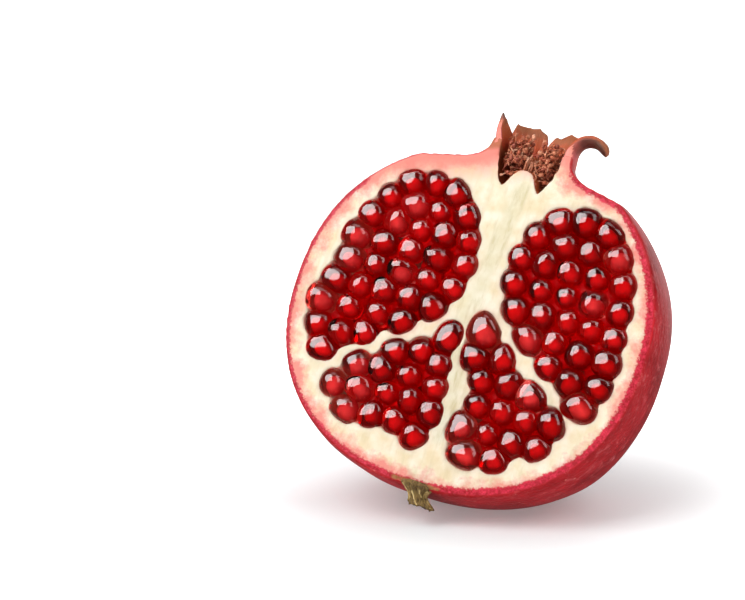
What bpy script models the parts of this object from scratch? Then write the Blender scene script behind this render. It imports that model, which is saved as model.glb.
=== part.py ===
# Half of a pomegranate, cut from crown to stem, standing on a small flat spot.
#
# Every shape is worked out in the fruit's own frame and in millimetres: x runs across the cut
# face, y away from it into the fruit, and z from the stem end to the crown. Each mesh is then
# turned to metres, and one empty leans and rolls the whole half to the way it stands.

import math

import bmesh
import bpy
from mathutils import Matrix, Vector

MM = 0.001

# The body: a turned shape, a little squarer than an ellipse
BODY_RADIUS = 47.8
BODY_HALF_HEIGHT = 44.1
BODY_MIDDLE = Vector((-1.4, 0.0, 1.2))
SQUARENESS = 2.25  # exponent of the outline; 2 is an ellipse
BACK_DEPTH = 0.96  # of the back, as a share of a round one
SHOULDER_RISE = 0.016  # per millimetre, from left to right
TURN_STEPS = 44
OUTLINE_STEP = 8.0  # degrees

# The calyx: (radius, height) from the shoulder up the tube, over its rim and down the hollow
SHOULDER = [(24.5, 39.7), (20.0, 40.7), (17.0, 41.3)]
CALYX_OUTSIDE = [(14.4, 42.2), (12.6, 43.4), (11.3, 45.0), (10.9, 47.6)]
CALYX_HOLLOW = [(8.7, 47.6), (8.1, 45.0), (7.7, 42.0), (6.8, 39.0), (5.8, 36.4)]
HOLLOW_DOME = [(4.6, 36.4), (3.4, 38.8), (1.6, 40.6), (0.0, 41.0)]
CALYX_AXIS = Vector((1.0, -10.0, 0.0))
CALYX_PULL = (14.0, 44.0)  # radii between which the body follows the calyx's offset

# How the half is cut and how it stands
CUT_OFFSET = 13.0  # of the cut face in front of the body's middle
LEAN = 21.0  # degrees, of the cut face backwards
ROLL = 13.5  # degrees, of the crown to the right
GROUND_BELOW = 44.4  # from the body's middle straight down to the flat spot

# The four chambers that the cut opens, as (x, z) points along each wall
CHAMBERS = {
    "upper_left": [
        (-24.5, 34.6), (-15.0, 34.6), (-7.2, 28.0), (-3.2, 16.0), (-5.0, 4.5), (-13.0, -3.6),
        (-24.5, -11.6), (-35.5, -19.0), (-41.6, -10.5), (-42.6, -2.0), (-39.6, 7.0),
        (-38.6, 17.0), (-32.8, 28.6),
    ],
    "right": [
        (10.5, 32.4), (20.0, 35.8), (30.0, 31.6), (36.6, 20.0), (38.3, 6.0), (38.8, -4.0),
        (36.2, -12.0), (32.6, -15.0), (25.4, -10.0), (15.2, -2.8), (6.4, 6.2), (3.8, 16.0),
        (5.4, 26.0),
    ],
    "lower_left": [
        (-4.4, 0.3), (-0.9, -1.6), (-1.6, -9.0), (0.0, -19.0), (-0.8, -29.0), (-5.0, -33.6),
        (-13.5, -30.6), (-24.0, -31.4), (-32.8, -24.0), (-27.8, -16.4), (-18.8, -9.4),
        (-10.0, -5.0),
    ],
    "lower_middle": [
        (3.4, 3.6), (8.6, -0.6), (19.0, -8.6), (28.0, -14.4), (30.6, -20.6), (26.0, -26.8),
        (16.5, -32.6), (6.6, -32.8), (3.2, -27.0), (4.0, -20.0), (4.2, -14.5), (0.8, -8.0),
        (1.0, -0.6),
    ],
}
WALL_POINTS = 34  # round each chamber's wall
CURVE_STEPS = 12  # between two of the points above, when the curve is measured
CHAMBER_TAPER = [(-6.0, 1.0), (6.0, 1.0), (13.0, 0.93), (18.5, 0.82), (20.5, 0.68)]

# The juice sacs (arils)
ARIL_WIDTH = 6.8  # along a row
ROW_PITCH = 5.75
END_ROWS = 0.6  # share of a pitch that the first and last rows give up to the wall
STAGGER = (0.9, 2.4, 1.7)  # height, and the turns per row and per sac that vary it
ARIL_REACH = 4.3  # furthest corner of a sac from its middle
WALL_REACH = 6.5  # how near a stretch of chamber wall has to be to bound a sac
FRONT_DEPTH = 9.4  # of the front layer's roots behind the cut face
ROW_OVERLAP = 0.06  # by which each sac passes the wall it shares along its row
LAYER_GAP = 0.3
SHORTEST_EDGE = 0.7  # of a sac's outline
SETTLING_ROUNDS = 9
STAND_PROUD = (1.2, 2.6)  # range of the tips in front of the cut face
SAC_ROOT = (FRONT_DEPTH, 0.62)  # (behind the cut face, size)
SAC_WAIST = (4.5, 1.0)
SAC_SHOULDER = (2.3, 0.92)  # (below the tip, size)
SAC_TIP_SIZE = 0.5

# The deeper sacs that show between the front ones: one bed behind each chamber's front layer
BED_POINTS = 20
BED_TAPER = [(9.9, 0.66), (10.6, 0.88), (13.2, 0.86), (18.0, 0.76), (19.9, 0.6)]

# The dried calyx lobes on the rim of the tube; bearings run from the right round the back
RIM_RADIUS = 9.8
RIM_HEIGHT = 47.6
LOBE_THICKNESS = 1.7
LOBE_SECTIONS = 7
LOBE_CORNERS = 8
LOBE_TAPER = (0.82, 1.4)  # share of the width lost at the tip, and how late it goes
LOBE_THINNING = 0.45
LOBE_CUP = 1 / (2.6 * RIM_RADIUS)  # curvature across the root
LOBES = {
    "sepal_left": {"bearing": 168, "width": 7.4, "length": 7.6, "lean": -2, "curl": 4},
    "sepal_back_left": {"bearing": 116, "width": 8.2, "length": 7.2, "lean": 4, "curl": 24},
    "sepal_back_right": {"bearing": 62, "width": 8.2, "length": 6.6, "lean": 2, "curl": 14},
    "sepal_curled": {"bearing": 9, "width": 6.0, "length": 13.5, "lean": 0, "curl": 158},
}

# Inside the calyx: the stump of the style, and two tufts of dried stamens beside it
STYLE_PATH = [(1.0, -10.0, 41.3, 0.95), (1.1, -10.1, 43.0, 0.7), (1.5, -10.3, 45.4, 0.4)]
TUFT_OFFSET = {"stamens_left": -4.15, "stamens_right": 4.15}
TUFT_PROFILE = [(40.6, 0.35), (42.6, 0.8), (45.4, 1.0), (48.6, 0.92), (51.0, 0.42)]
TUFT_RADII = (2.35, 3.7)
TUFT_BACK = 0.9  # behind the calyx's axis
TUFT_CORNERS = 12
STUMP_CORNERS = 8
TUFT_LUMPS = 0.1

# The woody stump of the stalk
STEM_PATH = [
    (1.0, -10.1, -42.7, 2.8), (1.2, -10.2, -43.8, 2.4), (1.5, -10.3, -45.2, 2.5),
    (1.7, -10.4, -46.2, 1.8),
]

COLOURS = {
    "rind": (0.42, 0.012, 0.016, 0.36, 0.0),
    "aril": (0.36, 0.004, 0.010, 0.12, 0.0),
    "deep_aril": (0.16, 0.002, 0.006, 0.2, 0.0),
    "dried_calyx": (0.34, 0.115, 0.04, 0.72, 0.0),
    "stamen": (0.20, 0.065, 0.03, 0.85, 0.0),
    "stem_wood": (0.23, 0.155, 0.07, 0.88, 0.0),
}

# The frame that the half stands in
STANDING = (
    Matrix.Rotation(math.radians(-LEAN), 3, "X") @ Matrix.Rotation(math.radians(ROLL), 3, "Y")
)
DOWN = STANDING.transposed() @ Vector((0.0, 0.0, -1.0))


def clear_scene():
    for obj in list(bpy.data.objects):
        bpy.data.objects.remove(obj, do_unlink=True)


def material(name):
    red, green, blue, roughness, metallic = COLOURS[name]
    made = bpy.data.materials.get(name) or bpy.data.materials.new(name)
    made.use_nodes = True
    shader = made.node_tree.nodes["Principled BSDF"]
    shader.inputs["Base Color"].default_value = (red, green, blue, 1.0)
    shader.inputs["Roughness"].default_value = roughness
    shader.inputs["Metallic"].default_value = metallic
    made.diffuse_color = (red, green, blue, 1.0)
    return made


def ease(low, high, value):
    share = min(1.0, max(0.0, (value - low) / (high - low)))
    return share * share * (3.0 - 2.0 * share)


def mesh_from(bm, name):
    """A mesh with its doubles merged and its faces pointing out."""
    bmesh.ops.remove_doubles(bm, verts=bm.verts, dist=0.01)
    bmesh.ops.recalc_face_normals(bm, faces=bm.faces)
    mesh = bpy.data.meshes.new(name)
    bm.to_mesh(mesh)
    bm.free()
    return mesh


def place(name, mesh, finish, frame, smooth_angle=35.0):
    """Adds a mesh in millimetres as a named object of the standing half."""
    mesh.transform(Matrix.Scale(MM, 4))
    mesh.materials.clear()
    mesh.materials.append(material(finish))
    mesh.shade_smooth()
    mesh.set_sharp_from_angle(angle=math.radians(smooth_angle))
    obj = bpy.data.objects.new(name, mesh)
    bpy.context.scene.collection.objects.link(obj)
    obj.parent = frame
    return obj


def joined(meshes, name):
    """One solid from meshes that overlap a little, each with the next."""
    objects = [bpy.data.objects.new(name, mesh) for mesh in meshes]
    for obj in objects:
        bpy.context.scene.collection.objects.link(obj)
    for other in objects[1:]:
        union = objects[0].modifiers.new("join", "BOOLEAN")
        union.operation = "UNION"
        union.solver = "EXACT"
        union.object = other
    depsgraph = bpy.context.evaluated_depsgraph_get()
    result = bpy.data.meshes.new_from_object(objects[0].evaluated_get(depsgraph))
    for obj in objects:
        bpy.data.objects.remove(obj, do_unlink=True)
    result.name = name
    return result


# Outlines on the cut face


def smooth_ring(points, count):
    """Points evenly along a closed Catmull-Rom curve through a few points."""
    corners = [Vector(point) for point in points]
    total = len(corners)
    fine = []
    for index in range(total):
        before, start, end, after = (corners[(index + k - 1) % total] for k in range(4))
        for step in range(CURVE_STEPS):
            t = step / CURVE_STEPS
            fine.append(
                0.5 * (2 * start + (end - before) * t
                       + (2 * before - 5 * start + 4 * end - after) * t * t
                       + (3 * start - before - 3 * end + after) * t ** 3)
            )
    lengths = [0.0]
    for index in range(len(fine)):
        lengths.append(lengths[-1] + (fine[index] - fine[index - 1]).length)
    ring = []
    for step in range(count):
        target = lengths[-1] * step / count
        index = max(k for k in range(len(fine)) if lengths[k] <= target)
        share = (target - lengths[index]) / (lengths[index + 1] - lengths[index])
        ring.append(fine[index - 1].lerp(fine[index], share))
    return ring


def signed_area(ring):
    return sum(a.x * b.y - b.x * a.y for a, b in zip(ring, ring[1:] + ring[:1])) / 2


def middle_of(ring):
    """Centre of area of a flat ring."""
    area = signed_area(ring)
    total = Vector((0.0, 0.0))
    for a, b in zip(ring, ring[1:] + ring[:1]):
        total += (a + b) * (a.x * b.y - b.x * a.y)
    return total / (6 * area)


def inward_walls(ring):
    """(middle, direction into the chamber) for each straight stretch of a chamber's outline."""
    turn = 1.0 if signed_area(ring) > 0 else -1.0
    walls = []
    for start, end in zip(ring, ring[1:] + ring[:1]):
        along = (end - start).normalized()
        walls.append(((start + end) / 2, Vector((-along.y, along.x)) * turn))
    return walls


def clipped(ring, point, keep):
    """The part of a convex ring on the side of a line that keep points to."""
    result = []
    for a, b in zip(ring, ring[1:] + ring[:1]):
        side_a, side_b = (a - point).dot(keep), (b - point).dot(keep)
        if side_a >= 0:
            result.append(a)
        if side_a * side_b < 0:
            result.append(a.lerp(b, side_a / (side_a - side_b)))
    return result


def spans_at(ring, height):
    """Pairs of x between which a ring holds the given height."""
    crossings = []
    for a, b in zip(ring, ring[1:] + ring[:1]):
        if (a.y - height) * (b.y - height) < 0:
            crossings.append(a.x + (b.x - a.x) * (height - a.y) / (b.y - a.y))
    crossings.sort()
    return list(zip(crossings[::2], crossings[1::2]))


def sac_cell(index, sites, walls, wall_gap, sac_gap, row_of=None):
    """The flat outline that a sac may fill, bounded by its neighbours and the chamber wall."""
    site = sites[index]
    cell = [
        site + ARIL_REACH * Vector((math.cos(angle), math.sin(angle)))
        for angle in (math.tau * k / 8 for k in range(8))
    ]
    for point, inward in walls:
        if (point - site).length < WALL_REACH:
            cell = clipped(cell, point + inward * wall_gap, inward)
    for other, neighbour in enumerate(sites):
        apart = neighbour - site
        if other == index or apart.length > 2.2 * ARIL_REACH:
            continue
        same_row = row_of is not None and row_of[other] == row_of[index]
        gap = -ROW_OVERLAP if same_row else sac_gap / 2
        direction = apart.normalized()
        cell = clipped(cell, (site + neighbour) / 2 - direction * gap, -direction)
    return cell


def sac_sites(ring):
    """Middles of the sacs in rows across a chamber, and the row that each is in."""
    walls = inward_walls(ring)
    top, bottom = max(p.y for p in ring), min(p.y for p in ring)
    row_count = round((top - bottom) / ROW_PITCH - END_ROWS)
    pitch = (top - bottom) / row_count
    lift, per_row, per_sac = STAGGER
    sites, row_of = [], []
    for row in range(row_count):
        height = top - (row + 0.5) * pitch
        for low, high in spans_at(ring, height):
            count = round((high - low) / ARIL_WIDTH)
            for step in range(count):
                stagger = lift * math.sin(per_row * row + per_sac * step)
                across = low + (high - low) * (step + 0.5) / count
                sites.append(Vector((across, height + stagger)))
                row_of.append(row)
    for _ in range(SETTLING_ROUNDS):
        sites = [middle_of(sac_cell(k, sites, walls, 0.0, 0.0)) for k in range(len(sites))]
    return sites, row_of, walls


# Pieces


def husk_outline():
    """(radius, height) from the bottom pole over the shoulder into the crown's hollow."""
    outline = []
    angle = -90.0
    while angle < 90.0:
        rise = math.sin(math.radians(angle))
        radius = BODY_RADIUS * math.cos(math.radians(angle)) ** (2 / SQUARENESS)
        height = math.copysign(abs(rise) ** (2 / SQUARENESS), rise) * BODY_HALF_HEIGHT
        if angle > 0.0 and radius < SHOULDER[0][0] + 3.0:
            break
        outline.append((radius if angle > -90.0 else 0.0, height))
        angle += OUTLINE_STEP
    crown = SHOULDER + CALYX_OUTSIDE + CALYX_HOLLOW + HOLLOW_DOME
    return outline + [(radius, height - BODY_MIDDLE.z) for radius, height in crown]


def grown(point):
    """Moves a point of the turned shape to where the real, uneven fruit has it."""
    near_calyx = 0.0
    if point.z > 0.0:
        near_calyx = 1.0 - ease(*CALYX_PULL, math.hypot(point.x, point.y))
    centre = BODY_MIDDLE.lerp(CALYX_AXIS, near_calyx)
    depth = point.y * BACK_DEPTH if point.y > 0.0 else point.y
    rise = SHOULDER_RISE * point.x * (1.0 - near_calyx)
    return Vector((point.x + centre.x, depth + centre.y, point.z + rise + BODY_MIDDLE.z))


def fill_cut(bm, point, outward):
    """Cuts away what lies past a plane and closes the cut with one flat face."""
    geometry = bm.verts[:] + bm.edges[:] + bm.faces[:]
    bmesh.ops.bisect_plane(
        bm, geom=geometry, dist=0.001, plane_co=point, plane_no=outward, clear_outer=True
    )
    rim = [edge for edge in bm.edges if edge.is_boundary]
    return bmesh.ops.holes_fill(bm, edges=rim, sides=0)["faces"]


def husk_mesh():
    """The rind with its white pith and calyx tube, and the centre of its flat spot."""
    bm = bmesh.new()
    verts = [bm.verts.new((radius, 0.0, height)) for radius, height in husk_outline()]
    edges = [bm.edges.new(pair) for pair in zip(verts, verts[1:])]
    bmesh.ops.spin(
        bm, geom=verts + edges, cent=(0, 0, 0), axis=(0, 0, 1),
        angle=math.tau, steps=TURN_STEPS, use_merge=True,
    )
    bmesh.ops.remove_doubles(bm, verts=bm.verts, dist=0.01)
    for vert in bm.verts:
        vert.co = grown(vert.co)
    bmesh.ops.recalc_face_normals(bm, faces=bm.faces)
    fill_cut(bm, (0.0, -CUT_OFFSET, 0.0), (0.0, -1.0, 0.0))
    flat = fill_cut(bm, BODY_MIDDLE + DOWN * GROUND_BELOW, DOWN)[0]
    spot = flat.calc_center_median_weighted()
    return mesh_from(bm, "husk"), spot


def lofted(rings, name):
    """A closed solid through rings of points that all have the same count."""
    bm = bmesh.new()
    loops = [[bm.verts.new(point) for point in ring] for ring in rings]
    for lower, upper in zip(loops, loops[1:]):
        count = len(lower)
        for k in range(count):
            bm.faces.new((lower[k], lower[(k + 1) % count], upper[(k + 1) % count], upper[k]))
    bm.faces.new(loops[0])
    bm.faces.new(loops[-1])
    return mesh_from(bm, name)


def sized_ring(ring, centre, size, depth):
    """A flat ring set at a depth behind the cut face, larger or smaller about its middle."""
    flat = [centre + (point - centre) * size for point in ring]
    return [(point.x, depth - CUT_OFFSET, point.y) for point in flat]


def chamber_cutter(ring, name):
    centre = middle_of(ring)
    return lofted([sized_ring(ring, centre, size, depth) for depth, size in CHAMBER_TAPER], name)


def sac_mesh(cell, number):
    """One juice sac of the front layer: a gem with a rounded tip and a narrower root."""
    centre = middle_of(cell)
    low, high = STAND_PROUD
    tip = -low - (high - low) * (0.5 + 0.5 * math.sin(2.1 * number + 0.3 * centre.x))
    (root_depth, root_size), (waist_depth, waist_size) = SAC_ROOT, SAC_WAIST
    shoulder_below, shoulder_size = SAC_SHOULDER
    rings = [
        sized_ring(cell, centre, root_size, root_depth),
        sized_ring(cell, centre, waist_size, waist_depth),
        sized_ring(cell, centre, shoulder_size, tip + shoulder_below),
        sized_ring(cell, centre, SAC_TIP_SIZE, tip),
    ]
    return lofted(rings, f"sac_{number}")


def tidy_cell(cell):
    """A cell without corners that all but coincide."""
    kept = []
    for point in cell:
        if not kept or (point - kept[-1]).length > SHORTEST_EDGE:
            kept.append(point)
    if (kept[0] - kept[-1]).length <= SHORTEST_EDGE:
        kept.pop()
    return kept


def sac_rows(ring):
    """The front layer of a chamber, as one list of sac meshes for each row."""
    sites, row_of, walls = sac_sites(ring)
    rows = {}
    for index in range(len(sites)):
        cell = sac_cell(index, sites, walls, LAYER_GAP + 0.05, LAYER_GAP, row_of)
        rows.setdefault(row_of[index], []).append(sac_mesh(tidy_cell(cell), index))
    return [rows[row] for row in sorted(rows)]


def bed_mesh(ring, name):
    """The closed bed of deeper sacs behind a chamber's front layer."""
    centre = middle_of(ring)
    return lofted([sized_ring(ring, centre, size, depth) for depth, size in BED_TAPER], name)


def lobe_mesh(name, bearing, width, length, lean, curl):
    """A calyx lobe: a cupped, tapering tongue that stands on the rim and bends outwards."""
    around = math.radians(bearing)
    outward = Vector((math.cos(around), math.sin(around), 0.0))
    across = Vector((-outward.y, outward.x, 0.0))
    upward = Vector((0.0, 0.0, 1.0))
    middle = CALYX_AXIS + outward * RIM_RADIUS + upward * (RIM_HEIGHT + LAYER_GAP)
    rings = []
    for section in range(LOBE_SECTIONS):
        share = section / (LOBE_SECTIONS - 1)
        angle = math.radians(lean + curl * share)
        forward = upward * math.cos(angle) + outward * math.sin(angle)
        normal = outward * math.cos(angle) - upward * math.sin(angle)
        half_width = width / 2 * (1.0 - LOBE_TAPER[0] * share ** LOBE_TAPER[1])
        half_thickness = LOBE_THICKNESS / 2 * (1.0 - LOBE_THINNING * share)
        ring = []
        for corner in range(LOBE_CORNERS):
            turn = math.tau * corner / LOBE_CORNERS
            side = half_width * math.cos(turn)
            cup = side * side * LOBE_CUP * (1.0 - share)
            ring.append(middle + across * side + normal * (half_thickness * math.sin(turn) - cup))
        rings.append(ring)
        middle = middle + forward * (length / (LOBE_SECTIONS - 1))
    return lofted(rings, name)


def stump_mesh(path, name):
    """A round stump through (x, y, z, radius) points."""
    turns = [math.tau * corner / STUMP_CORNERS for corner in range(STUMP_CORNERS)]
    rings = [
        [(x + radius * math.cos(turn), y + radius * math.sin(turn), z) for turn in turns]
        for x, y, z, radius in path
    ]
    return lofted(rings, name)


def tuft_mesh(name, offset):
    """The outer shape of a tuft of dried stamens."""
    rings = []
    for height, size in TUFT_PROFILE:
        ring = []
        for corner in range(TUFT_CORNERS):
            turn = math.tau * corner / TUFT_CORNERS
            lump = size * (1.0 + TUFT_LUMPS * math.sin(3 * turn + height))
            across, deep = TUFT_RADII
            ring.append((
                CALYX_AXIS.x + offset + across * lump * math.cos(turn),
                CALYX_AXIS.y + TUFT_BACK + deep * lump * math.sin(turn),
                height,
            ))
        rings.append(ring)
    return lofted(rings, name)


def carve(husk, cutter):
    cutter.hide_render = True
    cutter.display_type = "WIRE"
    chamber = husk.modifiers.new(cutter.name, "BOOLEAN")
    chamber.operation = "DIFFERENCE"
    chamber.solver = "EXACT"
    chamber.object = cutter


def main():
    clear_scene()
    husk_shape, spot = husk_mesh()
    frame = bpy.data.objects.new("standing_half", None)
    bpy.context.scene.collection.objects.link(frame)
    frame.matrix_world = STANDING.to_4x4() @ Matrix.Translation(-spot * MM)
    husk = place("husk", husk_shape, "rind", frame)

    for chamber, points in CHAMBERS.items():
        ring = smooth_ring(points, WALL_POINTS)
        carve(husk, place(f"{chamber}_cutter", chamber_cutter(ring, chamber), "rind", frame))
        bed = f"aril_bed_{chamber}"
        place(bed, bed_mesh(smooth_ring(points, BED_POINTS), bed), "deep_aril", frame)
        for number, sacs in enumerate(sac_rows(ring), start=1):
            row = f"arils_{chamber}_row_{number}"
            place(row, joined(sacs, row), "aril", frame)

    for name, shape in LOBES.items():
        place(name, lobe_mesh(name, **shape), "dried_calyx", frame)
    for name, offset in TUFT_OFFSET.items():
        place(name, tuft_mesh(name, offset), "stamen", frame)
    place("style", stump_mesh(STYLE_PATH, "style"), "dried_calyx", frame)
    place("stem_stub", stump_mesh(STEM_PATH, "stem_stub"), "stem_wood", frame)


main()
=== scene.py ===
import random
from functools import partial
from itertools import combinations
from math import atan, copysign, cos, exp, hypot, log1p, pi, radians, sin, sqrt, tau

import bmesh
import bpy
import numpy as np
from mathutils import Matrix, Vector
from mathutils.bvhtree import BVHTree
from mathutils.noise import noise


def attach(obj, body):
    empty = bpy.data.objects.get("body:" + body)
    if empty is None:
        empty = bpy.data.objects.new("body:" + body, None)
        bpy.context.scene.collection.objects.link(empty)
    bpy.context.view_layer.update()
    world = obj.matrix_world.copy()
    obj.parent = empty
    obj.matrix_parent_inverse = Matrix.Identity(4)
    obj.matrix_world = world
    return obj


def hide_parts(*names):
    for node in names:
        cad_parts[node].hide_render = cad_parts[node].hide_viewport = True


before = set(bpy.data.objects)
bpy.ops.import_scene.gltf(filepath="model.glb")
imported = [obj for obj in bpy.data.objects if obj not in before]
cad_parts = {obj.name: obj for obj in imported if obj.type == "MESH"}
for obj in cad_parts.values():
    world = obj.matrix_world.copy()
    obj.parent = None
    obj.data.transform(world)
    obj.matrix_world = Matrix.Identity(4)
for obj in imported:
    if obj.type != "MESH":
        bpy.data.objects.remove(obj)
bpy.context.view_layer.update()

# Shapes are worked out in millimetres in the fruit's own frame: x across the cut face, y away
# from it into the fruit, z from stalk to crown. toRow carries them to where the half stands.
standing = {
    "lean": 21.0,  # degrees, cut face backwards
    "roll": 13.5,  # degrees, crown to the right
    "origin": (-1.27, -3.82, 43.01),  # of the fruit's frame, over the middle of the flat spot
}
turned = Matrix.Rotation(radians(-standing["lean"]), 4, "X") @ Matrix.Rotation(
    radians(standing["roll"]), 4, "Y")
toRow = Matrix.Scale(0.001, 4) @ Matrix.Translation(standing["origin"]) @ turned


def toLinear(code):
    parts = [int(code[k:k + 2], 16) / 255 for k in (1, 3, 5)]
    return (*[p / 12.92 if p <= 0.04045 else ((p + 0.055) / 1.055) ** 2.4 for p in parts], 1.0)


def addNode(tree, kind, inputs=None, **settings):
    # an input is a value, a hex colour, a socket, or a node for its first live output
    made = tree.nodes.new("ShaderNode" + kind)
    for name, value in settings.items():
        setattr(made, name, value)
    for key, value in (inputs or {}).items():
        if isinstance(value, str):
            value = toLinear(value)
        if isinstance(value, bpy.types.Node):
            value = next(out for out in value.outputs if out.enabled)
        if isinstance(value, bpy.types.NodeSocket):
            tree.links.new(value, made.inputs[key])
        else:
            made.inputs[key].default_value = value
    return made


def filledRamp(add, value, stops):
    ramp = add("ValToRGB", {0: value})
    elements = ramp.color_ramp.elements
    while len(elements) < len(stops):
        elements.new(0.5)
    for element, (position, code) in zip(elements, stops):
        element.position, element.color = position, toLinear(code)
    return ramp


def emptied(holder):
    # a material or world without nodes, and the way to add some
    holder.use_nodes = True
    holder.node_tree.nodes.clear()
    return holder, partial(addNode, holder.node_tree)


def newMaterial(name):
    # also where each point is, in metres
    made, add = emptied(bpy.data.materials.new(name))
    return made, add, add("TexCoord").outputs["Object"]


def layered(add, colour, layers):
    # each layer paints over the last where its value runs from start to end
    for value, start, end, most, paint in layers:
        mask = add("MapRange", {0: value, 1: start, 2: end, 4: most})
        colour = add("Mix", {0: mask, 6: colour, 7: paint}, data_type="RGBA")
    return colour


def ease(low, high, value):
    share = min(1.0, max(0.0, (value - low) / (high - low)))
    return share * share * (3.0 - 2.0 * share)


def onRing(turn, wide, deep, height=0.0):
    return Vector((wide * cos(turn), deep * sin(turn), height))


def smoothCurve(points, steps, closed=False):
    # Catmull-Rom through a few points, ends included
    points = [Vector(p) for p in points]
    last = len(points) - 1
    made = []
    for k in range(last + 1 if closed else last):
        a, b, c, d = (points[n % (last + 1) if closed else min(max(n, 0), last)]
                      for n in range(k - 1, k + 3))
        for step in range(steps):
            t = step / steps
            made.append(0.5 * (2 * b + (c - a) * t + (2 * a - 5 * b + 4 * c - d) * t * t
                               + (3 * b - a - 3 * c + d) * t ** 3))
    return made if closed else made + [points[-1]]


def placed(name, data):
    made = bpy.data.objects.new(name, data)
    bpy.context.scene.collection.objects.link(made)
    return made


def finishPiece(name, mesh, materials, replaced=()):
    # a mesh in the fruit's millimetres becomes a piece of the standing half
    mesh.transform(toRow)
    for material in materials:
        mesh.materials.append(material)
    mesh.shade_smooth()
    piece = placed(name, mesh)
    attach(piece, "root")
    if replaced:
        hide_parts(*replaced)


def toMesh(bm, name):
    mesh = bpy.data.meshes.new(name)
    bm.to_mesh(mesh)
    bm.free()
    return mesh


def meshOf(bm, name):
    bmesh.ops.recalc_face_normals(bm, faces=bm.faces)
    return toMesh(bm, name)


def addAttribute(mesh, name, values):
    # one number or one vector for each point
    values = np.array(values, np.float32)
    kind, field = (("FLOAT", "value"), ("FLOAT_VECTOR", "vector"))[values.ndim - 1]
    mesh.attributes.new(name, kind, "POINT").data.foreach_set(field, values.ravel())


def loftRings(bm, rings):
    # a closed skin through rings of the same count
    loops = [[bm.verts.new(p) for p in ring] for ring in rings]
    for low, high in zip(loops, loops[1:]):
        edges = []
        for loop in (low, high):
            for k in range(len(loop)):
                pair = (loop[k - 1], loop[k])
                edges.append(bm.edges.get(pair) or bm.edges.new(pair))
        bmesh.ops.bridge_loops(bm, edges=edges)
    for loop in (loops[0], loops[-1]):
        bm.faces.new(loop)


# the fruit's shape, shared by everything that sits in or on it
fruit = {
    "radius": 47.8,
    "halfHeight": 44.1,
    "middle": Vector((-1.4, 0.0, 1.2)),
    "squareness": 2.25,  # 2 is an ellipse
    "spinSteps": 144,
    "backDepth": 0.96,
    "rise": 0.016,
    "cutAt": 13.0,  # in front of the middle
    "groundBelow": 44.4,  # under the middle
    "calyxAxis": Vector((1.0, -10.0, 0.0)),
    "calyxPull": (14.0, 44.0),
    "shoulder": [(24.5, 39.7), (20.0, 40.7), (17.0, 41.3), (14.4, 42.2), (12.6, 43.4),
                 (11.3, 45.0), (10.9, 47.6)],
    "hollow": [(8.7, 47.6), (8.3, 45.0), (7.9, 42.0), (7.0, 39.0), (5.7, 36.3), (5.0, 36.6),
               (4.3, 38.2), (3.4, 40.4), (2.4, 41.4), (0.0, 41.5)],
}


def grown(point):
    near = 0.0
    if point.z > 0.0:
        near = 1.0 - ease(*fruit["calyxPull"], hypot(point.x, point.y))
    centre = fruit["middle"].lerp(fruit["calyxAxis"], near)
    depth = point.y * (fruit["backDepth"] if point.y > 0.0 else 1.0)
    rise = fruit["rise"] * point.x * (1.0 - near)
    return Vector((point.x + centre.x, depth + centre.y, point.z + rise + fruit["middle"].z))


def spun(outline):
    bm = bmesh.new()
    verts = [bm.verts.new((x, 0.0, z)) for x, z in outline]
    edges = [bm.edges.new(pair) for pair in zip(verts, verts[1:])]
    bmesh.ops.spin(bm, geom=verts + edges, cent=(0, 0, 0), axis=(0, 0, 1), angle=tau,
                   steps=fruit["spinSteps"], use_merge=True)
    bmesh.ops.remove_doubles(bm, verts=bm.verts, dist=0.001)
    for vert in bm.verts:
        vert.co = grown(vert.co)
    bmesh.ops.recalc_face_normals(bm, faces=bm.faces)
    return bm


def outerOutline():
    outline = []
    for degrees in np.arange(-90.0, 90.0, 2.5):
        angle = radians(degrees)
        power = 2 / fruit["squareness"]
        radius = fruit["radius"] * max(cos(angle), 0.0) ** power
        if degrees > 0.0 and radius < fruit["shoulder"][0][0] + 2.0:
            break
        rise = copysign(abs(sin(angle)) ** power, sin(angle))
        outline.append((radius if outline else 0.0, rise * fruit["halfHeight"]))
    return outline[:-1] + smoothOutline(outline[-1:], fruit["shoulder"])


def smoothOutline(start, points):
    points = start + [(x, z - fruit["middle"].z) for x, z in points]
    return [tuple(p) for p in smoothCurve(points, 4)]


# chambers in the cut face, and how the juice sacs are packed in them
chambers = {
    "upper_left": [(-24.5, 34.6), (-15.0, 34.6), (-7.2, 28.0), (-3.2, 16.0), (-5.0, 4.5),
        (-13.0, -3.6), (-24.5, -11.6), (-35.5, -19.0), (-41.6, -10.5), (-42.6, -2.0),
        (-39.6, 7.0), (-38.6, 17.0), (-32.8, 28.6)],
    "right": [(10.5, 32.4), (20.0, 35.8), (30.0, 31.6), (36.6, 20.0), (38.3, 6.0), (38.8, -4.0),
        (36.2, -12.0), (32.6, -15.0), (25.4, -10.0), (15.2, -2.8), (6.4, 6.2), (3.8, 16.0),
        (5.4, 26.0)],
    "lower_left": [(-4.4, 0.3), (-0.9, -1.6), (-1.6, -9.0), (0.0, -19.0), (-0.8, -29.0),
        (-5.0, -33.6), (-13.5, -30.6), (-24.0, -31.4), (-32.8, -24.0), (-27.8, -16.4),
        (-18.8, -9.4), (-10.0, -5.0)],
    "lower_middle": [(3.4, 3.6), (8.6, -0.6), (19.0, -8.6), (28.0, -14.4), (30.6, -20.6),
        (26.0, -26.8), (16.5, -32.6), (6.6, -32.8), (3.2, -27.0), (4.0, -20.0), (4.2, -14.5),
        (0.8, -8.0), (1.0, -0.6)],
}
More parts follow.
